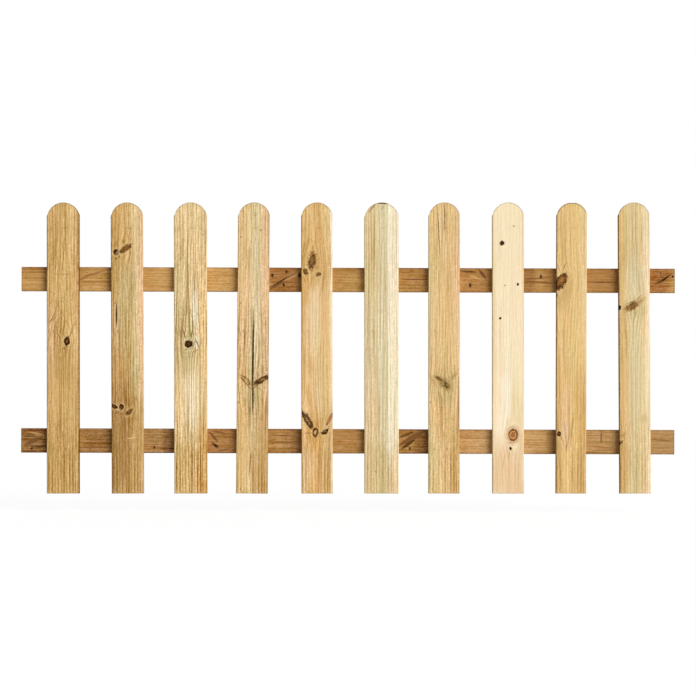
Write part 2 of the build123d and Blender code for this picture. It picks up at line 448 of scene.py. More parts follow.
# What each rail shows. Across is up from the middle of its height, along is from its left end.
LOWER_RAIL = Board(
    bands=((0, RAIL_BROWN), (0.3, RAIL_TAN), (0.6, RAIL_TAN), (1, RAIL_BROWN)),
    pith=(-6, 44, 60),
    ring=4.2,
    contrast=0.72,
    edges=(0.5, 0.4),
    calms=(
        (36, 110, -0.4), (204, 110, -0.4), (378, 110, -0.45), (552, 110, -0.15), (726, 110, -0.35),
        (1074, 110, -0.3), (1248, 110, -0.15), (1422, 110, 0.1), (1596, 110, -0.15), (1763, 110, 0.2),
    ),
    knots=(
        (-21, 30, 8, 5, 20, "bark", 0.3), (-18, 367, 7, 4, 0, "bark", 0.4),
        (-12, 535, 19, 6, -52, "bark", 0.5), (-19, 1071, 7, 4, 0, "bark", 0.4),
    ),
    streaks=(
        (-1, 34, 60, 12, 24, RAIL_DARK, 0.9), (12, 25, 40, 4, 0, BARK, 0.6),
        (20, 40, 50, 5, -10, RAIL_GOLD, 0.6), (-16, 52, 50, 8, 4, BARK, 0.5),
        (12, 530, 40, 7.5, -50, RAIL_DARK, 0.9), (24, 545, 50, 4, -10, RAIL_DARK),
        (-24, 560, 40, 4, 10, RAIL_DARK), (-2, 727, 90, 3.4, 0, RAIL_DARK, 0.9),
        (16, 727, 90, 3, -2, RAIL_DARK), (-18, 205, 90, 4, 1, RAIL_DARK, 0.7),
        (8, 200, 70, 3, -2, RAIL_DARK, 0.5), (10, 1078, 90, 15, 30, RAIL_DARK, 0.95),
        (-8, 1066, 50, 7.5, 34, BARK), (18, 1060, 50, 7.5, 20, BARK, 0.6),
        (14, 1599, 40, 5, 90, RAIL_DARK, 0.7), (-14, 1600, 90, 3.4, -4, RAIL_RED, 0.9),
        (-22, 1610, 80, 3.4, 3, RAIL_RED, 0.9), (6, 1765, 60, 3.4, -3, RAIL_DARK, 0.7),
        (-8, 1425, 80, 3, -1, RAIL_BROWN), (10, 1250, 80, 3, 1, RAIL_BROWN),
    ),
    patches=(
        (0, 35, 90, 60, RAIL_DARK, 0.62), (0, 205, 90, 50, RAIL_COCOA, 0.9),
        (0, 378, 90, 60, RAIL_CLAY, 0.8), (0, 725, 90, 50, RAIL_NUT), (0, 890, 90, 50, RAIL_FAWN),
        (0, 550, 90, 50, RAIL_EARTH), (4, 712, 60, 12, RAIL_GOLD, 0.4), (0, 1080, 90, 50, RAIL_DARK, 0.3),
        (0, 905, 90, 60, RAIL_BROWN, 0.35), (0, 735, 90, 50, RAIL_BROWN, 0.3),
        (0, 1340, 90, 150, RAIL_BUFF, 0.9), (0, 1600, 90, 60, RAIL_OAT, 0.9),
        # The narrow RAIL_DARK bands at 405, 755, 1110 and 1460 are painted shadow that the pales to their
        # right cast on the rail
        (0, 1765, 90, 60, RAIL_SAND, 0.9), (0, 405, 90, 16, RAIL_DARK, 0.6),
        (0, 1110, 90, 26, RAIL_DARK, 0.6), (0, 755, 90, 16, RAIL_DARK, 0.4),
        (0, 1460, 90, 16, RAIL_DARK, 0.4),
    ),
)
UPPER_RAIL = Board(
    bands=((0, RAIL_TAN), (0.3, RAIL_TAN), (0.65, RAIL_TAN), (1, RAIL_BROWN)),
    pith=(8, 62, 36),
    ring=4.2,
    contrast=0.72,
    edges=(0.2, 0.6),
    calms=(
        (36, 110, 0.12), (204, 110, -0.15), (378, 110, 0.15), (552, 110, -0.2), (726, 110, -0.3),
        (1074, 110, -0.15), (1422, 110, 0.2), (1596, 110, 0.3), (1763, 110, -0.3),
    ),
    knots=(
        (12, 691, 8, 6, 0, "bark", 0.5), (22, 730, 8, 5, 0, "bark", 0.4),
        (13, 766, 11, 8, 0, "bark", 0.5), (-14, 722, 9, 5, 0, "bark", 0.4),
        (11, 1431, 9, 5, 0, "bark", 0.5), (22, 1761, 5, 3, 0, "bark", 0.3),
        (12, 1794, 6, 4, 0, "bark", 0.3), (-14, 1236, 11, 6, 0, "bark", 0.4),
    ),
    streaks=(
        (8, 178, 50, 7.5, 26, RAIL_RED, 0.9), (17, 207, 50, 6, 20, RAIL_RED, 0.9),
        (-6, 205, 70, 3, 0, RAIL_RED, 0.6), (-5, 718, 88, 9, 32, RAIL_DARK, 0.95),
        (-7, 708, 60, 5, 30, BARK, 0.6), (8, 745, 60, 6, 26, RAIL_GOLD, 0.6),
        (2, 1084, 84, 3.4, 0, RAIL_DARK, 0.95), (-14, 1070, 70, 3, -2, RAIL_RED, 0.7),
        (17, 1270, 34, 9, -52, RAIL_DARK, 1), (8, 1250, 40, 6, -20, RAIL_GOLD, 0.7),
        (24, 1230, 50, 5, -4, BARK, 0.7), (-5, 1428, 90, 3.4, -4, RAIL_DARK, 0.9),
        (6, 1420, 80, 5, 6, RAIL_DARK, 0.6), (-5, 1600, 90, 3.4, 0, RAIL_DARK, 0.9),
        (-2, 1760, 60, 9, 34, RAIL_DARK, 1), (-12, 1752, 40, 9, 30, RAIL_RED, 0.9),
        (5, 1772, 50, 4.5, 34, BARK),
    ),
    patches=(
        (0, 480, 90, 150, RAIL_GOLD, 0.75), (0, 200, 90, 46, RAIL_GOLD, 0.4),
        (0, 878, 90, 24, RAIL_BROWN, 0.4), (0, 725, 90, 50, RAIL_RED, 0.95),
        (0, 1090, 90, 60, RAIL_BROWN, 0.6), (0, 1255, 90, 60, RAIL_BROWN),
        (0, 1430, 90, 60, RAIL_RED, 0.5), (0, 1392, 90, 26, RAIL_DARK, 0.4),
        (0, 1428, 60, 14, RAIL_TAN, 0.6), (0, 1600, 90, 60, RAIL_BROWN, 0.8),
        (0, 1750, 90, 40, RAIL_RED, 0.9),
    ),
)

# Looks of a knot from its middle out: (distance, where 1 is its rim, tone, how much it covers)
KNOT_KINDS = {
    "dead": (
        (0, (96, 62, 34), 1), (0.5, (64, 40, 22), 1), (0.7, BARK, 1), (1, BARK, 1),
        (1.2, UMBER, 0.5), (1.6, CREAM, 0.4), (2.1, CREAM, 0),
    ),
    "dark": (
        (0, (128, 88, 44), 1), (0.35, (98, 64, 28), 1), (0.6, (56, 33, 10), 1),
        (1, (50, 29, 8), 1), (1.2, UMBER, 0.6), (1.4, GOLD, 0.5), (2.1, GOLD, 0),
    ),
    "brown": (
        (0, (146, 108, 60), 1), (0.5, (128, 90, 48), 1), (0.75, (88, 58, 29), 1), (0.95, RUST, 0.9),
        (1.15, BROWN, 0.5), (1.5, GOLD, 0.4), (2.1, GOLD, 0),
    ),
    "leaf": (
        (0, (164, 116, 62), 1), (0.45, (148, 102, 52), 1), (0.7, (120, 80, 40), 1),
        (0.85, (72, 44, 18), 1), (1, (98, 64, 30), 0.95), (1.15, AMBER, 0.7),
        (1.5, GOLD, 0.4), (2.1, GOLD, 0),
    ),
    "spike": (
        (0, BROWN, 1), (0.4, (124, 86, 46), 1), (0.7, (70, 45, 22), 1), (1, (84, 56, 30), 0.9),
        (1.2, BROWN, 0.4), (1.6, TAN, 0),
    ),
    "wing": (
        (0, MOSS, 0.8), (0.5, BROWN, 0.8), (0.75, UMBER, 0.9), (1, UMBER, 0.9),
        (1.15, BROWN, 0.4), (1.6, TAN, 0),
    ),
    "ring": (
        (0, HONEY, 0.9), (0.35, AMBER, 0.9), (0.6, BARK, 1), (0.9, UMBER, 1),
        (1.1, AMBER, 0.6), (1.5, HONEY, 0),
    ),
    "red": (
        (0, (150, 92, 50), 1), (0.35, (186, 124, 72), 1), (0.6, (206, 150, 96), 1),
        (0.72, (150, 96, 52), 1), (0.86, (108, 68, 36), 1), (1, (200, 150, 98), 0.9),
        (1.12, CREAM, 0.8), (1.28, (190, 140, 88), 0.7), (1.42, STRAW, 0.5), (1.9, STRAW, 0),
    ),
    "olive": (
        (0, (84, 62, 22), 1), (0.8, (100, 76, 30), 1), (1.1, BROWN, 0.9),
        (1.5, (182, 152, 92), 0.6), (2.1, TAN, 0),
    ),
    "cloud": ((0, RUST, 0.7), (0.6, BROWN, 0.6), (1.2, TOFFEE, 0.4), (1.9, TAN, 0)),
    "green": ((0, MOSS, 0.9), (0.7, MOSS, 0.7), (1.3, OLIVE, 0.4), (1.9, OLIVE, 0)),
    "dot": ((0, BARK, 1), (0.9, BARK, 1), (1.2, UMBER, 0.5), (1.6, CREAM, 0)),
    "bark": ((0, BARK, 1), (0.8, BARK, 0.9), (1.2, RAIL_DARK, 0.6), (2, RAIL_DARK, 0)),
    "speck": ((0, UMBER, 0.9), (0.7, UMBER, 0.8), (1.2, BROWN, 0.3), (1.7, TAN, 0)),
}
KNOT_REACH = 2.2  # how far out, in rims, a knot's stain is looked up
RAGGED_KNOTS = ("olive", "cloud", "wing", "green")  # kinds that are broken up into flecks
SMOOTH_KNOTS = ("red", "dot")  # kinds with a clean rim

RINGED_FROM = 12  # a knot longer than this shows rings of its own
KNOT_RING_RATE = 15.0
FULLY_RAGGED_FROM = 18  # from this length on a knot's rim is as ragged as it gets
MARK_WAVER = 3.0  # how far roughness moves the outline of a mark or an edge, in millimetres
PATCH_WAVER = 1.4  # the same for a patch, in shares of its size

EDGE_WIDTH = 3.2  # how far in from an edge the timber is darkened; along a long edge this is painted shade of the eased arris
END_WIDTH = 2.4  # the same at the ends
HEAD_WIDTH = 2.6  # the same round a pale's head
HEAD_FROM = 0.35  # how far up a pale's head that starts, in shares of its half width
END_DARKNESS = 0.6
CROWN_OFFSET = 1.0  # how far right of a pale's middle its head's arc has its centre
FLOW_STRETCH = 0.5  # how wide a bend in the grain is for its length
STRIPE_RATE = 0.8  # radians of a stripe for each millimetre across the grain
STRIPE_SWAY = 10.0
HUE_STRENGTH = 0.3

# Noises of the wood: their grain in millimetres across, deep and along, their detail and their seed
DRIFT_NOISE = (110, 60, 450), 1, 7  # slow wander of the grain
DRIFT = 9.0
PITH_NOISE = (150, 90, 380), 1, 3  # wander of the pith
PITH_DRIFT = 12.0
YEAR_NOISE = (9, 14, 150), 2, 5  # unevenness of the years
BROAD_NOISE = (20, 30, 420), 2, 11  # wide lighter and darker runs
HUE_NOISE = (26, 26, 300), 1, 37  # warmer and cooler runs
PALE_FIBRE_NOISE = (3, 6, 26), 0, 13  # single fibres
RAIL_FIBRE_NOISE = (3, 6, 18), 0, 13
LINE_NOISE = (2.8, 6, 190), 0, 17  # long thin lines
SWAY_NOISE = (16, 20, 170), 1, 53  # bends the stripes
DASH_NOISE = (3, 5, 12), 1, 19  # short dark resin dashes
VIGOUR_NOISE = (18, 20, 120), 1, 41  # where the grain is bold
ROUGH_NOISE = (5, 5, 6), 2, 23  # frays the outlines of marks
SOFT_NOISE = (26, 30, 80), 2, 29  # bends them

# How strongly each of them lightens or darkens the wood
BROAD_STRENGTH = 0.04
FIBRE_STRENGTH = 0.4
LINE_STRENGTH = 0.42
ROUGH_STRENGTH = 0.5
YEAR_STRENGTH = 0.18
PALE_STRIPE_STRENGTH = 1.0
RAIL_STRIPE_STRENGTH = 0.4

# Tones that the grain is drawn with
PALE_DASH = (138, 106, 66)
RAIL_DASH = RAIL_DARK
PALE_LINE_TINT = (190, 176, 152)
RAIL_LINE_TINT = (186, 170, 140)
WARM_TINT = (255, 238, 228)
COOL_TINT = (238, 250, 228)

PLANED_SHEEN = 0.15  # planed softwood reflects little
WOOD_IOR = 1.45
WOOD_ROUGHNESS = 0.68
RELIEF_STRENGTH = 0.35
RELIEF_DEPTH = 0.6 * MM


def shade(tone):
    """A tone as the linear colour that a shader takes."""
    def linear(value):
        value = value / 255
        return value / 12.92 if value <= 0.04045 else ((value + 0.055) / 1.055) ** 2.4
    return tuple(linear(value) for value in tone) + (1.0,)


class Wire:
    """A value in a material's nodes. Arithmetic on it adds Math nodes, so a formula reads as one."""

    def __init__(self, tree, socket):
        self.tree = tree
        self.socket = socket

    def math(self, operation, *others):
        node = self.tree.nodes.new("ShaderNodeMath")
        node.operation = operation
        for slot, value in zip(node.inputs, (self, *others)):
            feed(self.tree, slot, value)
        return Wire(self.tree, node.outputs[0])

    def __add__(self, other):
        return self.math("ADD", other)

    def __sub__(self, other):
        return self.math("SUBTRACT", other)

    def __mul__(self, other):
        return self.math("MULTIPLY", other)

    def __truediv__(self, other):
        return self.math("DIVIDE", other)

    def smooth(self, low, high):
        """0 below low, 1 above high and an even S-curve between; low may be the greater."""
        node = self.tree.nodes.new("ShaderNodeMapRange")
        node.interpolation_type = "SMOOTHSTEP"
        for slot, value in zip(node.inputs, (self, low, high, 0.0, 1.0)):
            feed(self.tree, slot, value)
        return Wire(self.tree, node.outputs[0])


def feed(tree, slot, value):
    """Links a wire to the slot, or sets the slot to a plain value."""
    if isinstance(value, Wire):
        tree.links.new(value.socket, slot)
    else:
        slot.default_value = value


def placed(tree, point, centre, turn=0.0, scale=(1.0, 1.0, 1.0)):
    """The point as seen from a mark: moved to its centre, turned in the face and divided by its size."""
    node = tree.nodes.new("ShaderNodeMapping")
    node.vector_type = "TEXTURE"
    feed(tree, node.inputs["Vector"], point)
    node.inputs["Location"].default_value = centre
    node.inputs["Rotation"].default_value = (0.0, radians(turn), 0.0)
    node.inputs["Scale"].default_value = scale
    return Wire(tree, node.outputs[0])


def split(tree, point):
    """The three parts of a point or a direction."""
    node = tree.nodes.new("ShaderNodeSeparateXYZ")
    feed(tree, node.inputs[0], point)
    return [Wire(tree, socket) for socket in node.outputs]


def joined(tree, across, deep, along):
    """One point out of its three parts."""
    node = tree.nodes.new("ShaderNodeCombineXYZ")
    for slot, value in zip(node.inputs, (across, deep, along)):
        feed(tree, slot, value)
    return Wire(tree, node.outputs[0])


def length_of(tree, vector):
    """The length of a vector."""
    node = tree.nodes.new("ShaderNodeVectorMath")
    node.operation = "LENGTH"
    feed(tree, node.inputs[0], vector)
    return Wire(tree, node.outputs["Value"])


def noise(tree, point, size, detail=2.0, seed=0.0):
    """Even noise around 0, mostly within a quarter up and down; size is its grain each way."""
    node = tree.nodes.new("ShaderNodeTexNoise")
    start = (seed * 31.0, seed * 17.0, seed * 53.0)
    feed(tree, node.inputs["Vector"], placed(tree, point, start, 0.0, size))
    node.inputs["Scale"].default_value = 1.0
    node.inputs["Detail"].default_value = detail
    return Wire(tree, node.outputs[0]) - 0.5


def ramp(tree, value, stops):
    """A row of tones over a value from 0 to 1; a stop's third item is how much it covers."""
    node = tree.nodes.new("ShaderNodeValToRGB")
    feed(tree, node.inputs[0], value)
    elements = node.color_ramp.elements
    while len(elements) < len(stops):
        elements.new(1.0)
    for element, (place, tone, *cover) in zip(elements, stops):
        element.position = place
        element.color = shade(tone)[:3] + tuple(cover or (1.0,))
    return Wire(tree, node.outputs[0]), Wire(tree, node.outputs[1])


def blend(tree, cover, under, over, mode="MIX"):
    """Lays one tone over another, as far as it covers."""
    node = tree.nodes.new("ShaderNodeMix")
    node.data_type = "RGBA"
    node.blend_type = mode
    feed(tree, node.inputs[0], cover)
    feed(tree, node.inputs[6], under)
    feed(tree, node.inputs[7], over)
    return Wire(tree, node.outputs[2])


def scaled(tree, tone, amount):
    """Multiplies a tone by this amount."""
    node = tree.nodes.new("ShaderNodeVectorMath")
    node.operation = "SCALE"
    feed(tree, node.inputs[0], tone)
    feed(tree, node.inputs["Scale"], amount)
    return Wire(tree, node.outputs[0])


def brighten(tree, tone, amount):
    """Lightens a tone by this amount, or darkens it by an amount below 0. Part of the change is the same
    in red, green and blue, so that dark grain stays as warm as the wood about it."""
    changed = tree.nodes.new("ShaderNodeVectorMath")
    changed.operation = "MULTIPLY_ADD"
    feed(tree, changed.inputs[0], tone)
    feed(tree, changed.inputs[1], amount * 0.6 + 1.0)
    feed(tree, changed.inputs[2], amount * 0.26)
    kept = tree.nodes.new("ShaderNodeVectorMath")
    kept.operation = "MAXIMUM"
    tree.links.new(changed.outputs[0], kept.inputs[0])
    kept.inputs[1].default_value = (0.01, 0.01, 0.01)
    return Wire(tree, kept.outputs[0])


def greatest(covers):
    """The greatest of these covers at each point, or 0 where there are none."""
    top = 0.0
    for cover in covers:
        top = cover.math("MAXIMUM", top)
    return top


def marks(kind, rows):
    """A mark of this kind from each row of values."""
    return [kind(*row) for row in rows]


def grain_flow(tree, point, across, board):
    """Across, bent so that its level lines run along the grain and part round each knot.
    Also how near the knots are, summed, which draws the year rings round them."""
    flow = across + noise(tree, point, *DRIFT_NOISE) * DRIFT
    nearness = 0.0
    for knot in marks(Knot, board.knots):
        if not knot.bend:
            continue
        reach = 0.3 * (knot.long + knot.short)
        centre = (knot.across, 0.0, knot.along)
        seen = placed(tree, point, centre, 0.0, (reach, NO_LIMIT, reach / FLOW_STRETCH))
        distance = length_of(tree, seen)
        squared = (distance * distance).math("MAXIMUM", 1.0)
        flow = flow - split(tree, seen)[0] * (reach * knot.bend * 0.7) / squared
        close = (squared * squared).math("POWER", -1.0) * knot.bend
        nearness = close + nearness
    return flow, nearness


def year_rings(tree, flow, deep, along, point, nearness, board, length):
    """Dark late wood, 0 to 1, of the year rings: circles round a pith that lies askew behind the board."""
    pith_across, pith_foot, pith_head = board.pith
    depth = along * ((pith_head - pith_foot) / length) + pith_foot
    depth = depth + noise(tree, point, *PITH_NOISE) * PITH_DRIFT
    for swell in marks(Swell, board.swells):
        centre = (swell.across, 0.0, swell.along)
        seen = placed(tree, point, centre, 0.0, (swell.wide, NO_LIMIT, swell.tall))
        depth = depth - length_of(tree, seen).smooth(1.0, 0.0) * swell.rise
    offset = flow - pith_across
    depth = depth + deep
    radius = (offset * offset + depth * depth).math("SQRT")
    year = radius / board.ring + noise(tree, point, *YEAR_NOISE) * 0.6 + nearness * 0.5
    season = year.math("FRACT")
    return season.smooth(0.45, 0.9) * season.smooth(1.0, 0.94)


def draw_knot(tree, point, rough, fleck, tone, knot):
    """Covers the tone with one knot. Returns the new tone and how far off the knot is, in rims."""
    size = (knot.long / 2, NO_LIMIT, knot.short / 2)
    seen = placed(tree, point, (knot.across, 0.0, knot.along), -knot.turn, size)
    longest = max(knot.long, knot.short)
    raggedness = 0.3 if knot.kind in SMOOTH_KNOTS else min(1.0, longest / FULLY_RAGGED_FROM)
    distance = length_of(tree, seen) + (rough * 1.2 + fleck * 0.9) * raggedness
    stops = [(place / KNOT_REACH, colour, cover) for place, colour, cover in KNOT_KINDS[knot.kind]]
    colour, cover = ramp(tree, distance / KNOT_REACH, stops)
    if knot.kind in RAGGED_KNOTS:
        cover = cover * ((fleck + rough * 1.4).smooth(-0.24, 0.04) * 0.7 + 0.3)
    elif longest > RINGED_FROM:
        rings = (distance * KNOT_RING_RATE + rough * 5.0).math("SINE")
        colour = scaled(tree, colour, rings * 0.3 + 0.92)
    return blend(tree, cover, tone, colour), distance


def draw_streak(tree, point, waver, tone, streak):
    """Covers the tone with one tapered line. Returns the new tone and how much of it lies here."""
    half = streak.length / 2
    seen = placed(tree, point, (streak.across, 0.0, streak.along), streak.turn)
    aside, _, ahead = split(tree, seen)
    taper = (ahead * ahead) * (-1 / half**2) + 1.0
    inside = taper * (streak.width / 2) - (aside + waver * streak.waver).math("ABSOLUTE")
    cover = inside.smooth(-0.8, 0.5) * streak.strength
    return blend(tree, cover, tone, shade(streak.tone)), cover


def draw_patch(tree, point, waver, tone, patch):
    """Covers the tone with one soft patch."""
    size = (patch.wide, NO_LIMIT, patch.tall)
    seen = placed(tree, point, (patch.across, 0.0, patch.along), 0.0, size)
    cover = (length_of(tree, seen) + waver).smooth(1.3, 0.4) * patch.strength
    return blend(tree, cover, tone, shade(patch.tone))


class Wood(NamedTuple):
    """A board's node tree, and the values in it that all the board's looks are drawn from."""
    tree: bpy.types.NodeTree
    board: Board
    is_rail: bool
    half_width: float
    length: float
    across: Wire
    along: Wire
    point: Wire  # across, deep and along
    flow: Wire  # across, bent as the grain is
    grained: Wire  # flow, deep and along
    late: Wire  # dark late wood of the year rings
    fine: Wire  # fibres
    dash: Wire
    rough: Wire
    soft: Wire


def ground_tone(wood):
    """The wood before its grain: the board's bands and patches, with warmer and cooler runs over them."""
    tree = wood.tree
    tone, _ = ramp(tree, wood.flow * (0.5 / wood.half_width) + 0.5, wood.board.bands)
    for patch in marks(Patch, wood.board.patches):
        tone = draw_patch(tree, wood.grained, wood.soft * PATCH_WAVER, tone, patch)
    hue = noise(tree, wood.grained, *HUE_NOISE)
    tone = blend(tree, hue.smooth(0.0, 0.2) * HUE_STRENGTH, tone, shade(WARM_TINT), "MULTIPLY")
    tone = blend(tree, hue.smooth(0.0, -0.2) * HUE_STRENGTH, tone, shade(COOL_TINT), "MULTIPLY")
    return brighten(tree, tone, hue.math("ABSOLUTE") * 0.15)


def boldness_of(wood):
    """How strongly the grain stands out here: the board's contrast, less in its calm stretches."""
    contrast = wood.board.contrast
    boldness = contrast
    for calm in marks(Calm, wood.board.calms):
        near = ((wood.along - calm.along).math("ABSOLUTE") / calm.reach).smooth(1.0, 0.3)
        boldness = near * (-calm.share * contrast) + boldness
    return boldness


def draw_grain(wood, tone):
    """Covers the tone with fibres, stripes, year rings, thin lines and resin dashes."""
    tree = wood.tree
    broad = noise(tree, wood.grained, *BROAD_NOISE)
    line = noise(tree, wood.grained, *LINE_NOISE)
    sway = noise(tree, wood.grained, *SWAY_NOISE)
    vigour = noise(tree, wood.grained, *VIGOUR_NOISE)
    stripe = (wood.flow * STRIPE_RATE + sway * STRIPE_SWAY).math("SINE")
    boldness = boldness_of(wood)

    fibres = broad * BROAD_STRENGTH + wood.fine * FIBRE_STRENGTH + line * LINE_STRENGTH
    fibres = fibres + wood.rough * ROUGH_STRENGTH - 0.025
    stripes = (stripe.smooth(0.1, 1.0) * -1.0 + 0.33) * (vigour * 0.9 + 0.15)
    stripes = stripes * (RAIL_STRIPE_STRENGTH if wood.is_rail else PALE_STRIPE_STRENGTH)
    years = (wood.late * -1.0 + 0.3) * (vigour * 1.2 + 0.8) - 0.15
    years = years * (wood.board.grain * YEAR_STRENGTH)
    tone = brighten(tree, tone, (fibres + stripes + years) * boldness)

    tint = shade(RAIL_LINE_TINT if wood.is_rail else PALE_LINE_TINT)
    lines = line.smooth(-0.02, -0.22) * 0.4 * boldness
    lines = lines.math("MAXIMUM", 0.0).math("MINIMUM", 0.95)
    tone = blend(tree, lines, tone, blend(tree, 1.0, tone, tint, "MULTIPLY"))
    dashes = wood.dash.smooth(0.14, 0.28) * (vigour * 1.4 + 0.7) * wood.board.dashes * boldness
    dashes = dashes.math("MAXIMUM", 0.0).math("MINIMUM", 0.9)
    return blend(tree, dashes, tone, shade(RAIL_DASH if wood.is_rail else PALE_DASH))


def draw_marks(wood, tone):
    """Covers the tone with the board's streaks and knots. Also says where they are open or dead."""
    waver = (wood.rough + wood.soft) * MARK_WAVER
    hollows = []
    for streak in marks(Streak, wood.board.streaks):
        tone, cover = draw_streak(wood.tree, wood.point, waver, tone, streak)
        if streak.tone == BARK:
            hollows.append(cover)
    for knot in marks(Knot, wood.board.knots):
        tone, distance = draw_knot(wood.tree, wood.point, wood.rough, wood.dash, tone, knot)
        hollows.append(distance.smooth(1.1, 0.7))
    return tone, greatest(hollows)


def edge_cover(wood):
    """How much of an edge's darkening lies here: painted shade along each long edge, and darkening at the
    ends and round a head.
    """
    left, right = wood.board.edges
    across, along, half_width = wood.across, wood.along, wood.half_width
    waver = wood.rough * MARK_WAVER
    low = (across + half_width + waver).smooth(EDGE_WIDTH, 0.6) * left
    high = ((across * -1.0) + half_width + waver).smooth(EDGE_WIDTH, 0.6) * right
    to_end = along.math("MINIMUM", (along * -1.0) + wood.length)
    ends = (to_end + waver).smooth(END_WIDTH, 0.4) * END_DARKNESS
    if wood.is_rail:
        return greatest((low, high, ends))
    up = (along - (wood.length - half_width)).math("MAXIMUM", 0.0)
    sideways = across - CROWN_OFFSET
    to_arc = ((sideways * sideways + up * up).math("SQRT") * -1.0) + half_width
    on_head = up.math("GREATER_THAN", half_width * HEAD_FROM)
    head = (to_arc + waver).smooth(HEAD_WIDTH, 0.6) * on_head * END_DARKNESS
    return greatest((low, high, ends, head))


def draw_edges(wood, tone):
    """Darkens the tone: painted shade along each long edge, and darkening at the ends, round a pale's head
    and on the end grain.
    """
    tree = wood.tree
    dark_tone = shade(RAIL_DASH if wood.is_rail else PALE_DASH)
    tone = blend(tree, edge_cover(wood), tone, blend(tree, 1.0, tone, dark_tone, "MULTIPLY"))
    geometry = tree.nodes.new("ShaderNodeNewGeometry")
    facing = split(tree, Wire(tree, geometry.outputs["Normal"]))
    end_grain = facing[0 if wood.is_rail else 2].math("ABSOLUTE").smooth(0.35, 0.85)
    return blend(tree, end_grain * END_DARKNESS, tone, dark_tone)


def finish_surface(wood, tone, hollow):
    """The planed surface: this tone, raised fibres, sunken knots and splits, and a dull sheen."""
    tree = wood.tree
    height = wood.late * 0.25 + wood.fine * 0.9 + wood.dash * 0.5 - hollow * 0.5
    bump = tree.nodes.new("ShaderNodeBump")
    bump.inputs["Strength"].default_value = RELIEF_STRENGTH
    bump.inputs["Distance"].default_value = RELIEF_DEPTH
    feed(tree, bump.inputs["Height"], height)
    shader = tree.nodes.new("ShaderNodeBsdfPrincipled")
    shader.inputs["IOR"].default_value = WOOD_IOR
    feed(tree, shader.inputs["Base Color"], tone)
    feed(tree, shader.inputs["Roughness"], wood.fine * 0.2 + wood.late * -0.08 + WOOD_ROUGHNESS)
    feed(tree, shader.inputs["Specular IOR Level"], hollow * -PLANED_SHEEN + PLANED_SHEEN)
    tree.links.new(bump.outputs["Normal"], shader.inputs["Normal"])
    output = tree.nodes.new("ShaderNodeOutputMaterial")
    tree.links.new(shader.outputs[0], output.inputs["Surface"])


def places_on_board(tree, board, centre, length, is_rail):
    """How far across, deep and along the board each point is, in millimetres."""
    where = tree.nodes.new("ShaderNodeTexCoord")
    lean = 0.0 if is_rail else board.lean + ROW_ANGLE
    local = placed(tree, Wire(tree, where.outputs["Object"]), centre, lean, (MM, MM, MM))
    right, deep, up = split(tree, local)
    across, along = (up, right) if is_rail else (right, up)
    return across, deep, along + length / 2


def timber(name, board, centre, half_width, length, is_rail):
    """The material of one board: planed softwood with the rings, knots and stains that the board lists."""
    material = bpy.data.materials.new(name)
    material.use_nodes = True
    tree = material.node_tree
    tree.nodes.clear()
    across, deep, along = places_on_board(tree, board, centre, length, is_rail)
    point = joined(tree, across, deep, along)
    flow, nearness = grain_flow(tree, point, across, board)
    grained = joined(tree, flow, deep, along)
    wood = Wood(
        tree=tree, board=board, is_rail=is_rail, half_width=half_width, length=length,
        across=across, along=along, point=point, flow=flow, grained=grained,
        late=year_rings(tree, flow, deep, along, point, nearness, board, length),
        fine=noise(tree, grained, *(RAIL_FIBRE_NOISE if is_rail else PALE_FIBRE_NOISE)),
        dash=noise(tree, grained, *DASH_NOISE),
        rough=noise(tree, point, *ROUGH_NOISE),
        soft=noise(tree, point, *SOFT_NOISE),
    )
    tone = draw_grain(wood, ground_tone(wood))
    tone, hollow = draw_marks(wood, tone)
    finish_surface(wood, draw_edges(wood, tone), hollow)
    return material


def dress_board(node, board, is_rail):
    """Gives a CAD board its own timber, placed by the board's own box."""
    low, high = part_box(node)
    centre = ((low.x + high.x) / 2, low.y, (low.z + high.z) / 2)
    size = high - low
    if is_rail:
        half_width, length = size.z / 2, size.x
    else:
        lean = abs(radians(board.lean + ROW_ANGLE))
        length = size.z
        half_width = (size.x - length * sin(lean)) / (2 * cos(lean))
    material = timber(f"timber_{node}", board, centre, half_width / MM, length / MM, is_rail)
    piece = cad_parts[node]
    piece.data.materials.clear()
    piece.data.materials.append(material)


STEEL_DARK = (120, 118, 112)
STEEL_LIGHT = (176, 176, 172)


def galvanised_steel():
    """Dull zinc-coated steel of the nail heads, mottled and a little rough."""
    material = bpy.data.materials.new("nail_steel")
    material.use_nodes = True
    tree = material.node_tree
    shader = tree.nodes["Principled BSDF"]
    where = tree.nodes.new("ShaderNodeTexCoord")
    point = placed(tree, Wire(tree, where.outputs["Object"]), (0.0, 0.0, 0.0), 0.0, (MM, MM, MM))
    mottle = noise(tree, point, (2.0, 2.0, 2.0), 3.0)
    tone = blend(tree, mottle.smooth(-0.2, 0.2), shade(STEEL_DARK), shade(STEEL_LIGHT))
    feed(tree, shader.inputs["Base Color"], tone)
    feed(tree, shader.inputs["Roughness"], mottle * 0.3 + 0.5)
    shader.inputs["Metallic"].default_value = 0.8
    return material


# Nails, driven through the backs of the rails into the pales: two at each crossing, one high and one low
NAIL_HEAD_RADIUS = 3.5 * MM
NAIL_HEAD_STAND = 0.3 * MM
NAIL_SPREAD_ACROSS = 20 * MM
NAIL_SPREAD_UP = 15 * MM
NAIL_PROFILE = ((1.0, -0.4), (1.0, 0.45), (0.86, 0.9), (0.5, 1.0))  # share of the radius and of the stand
NAIL_SIDES = 20


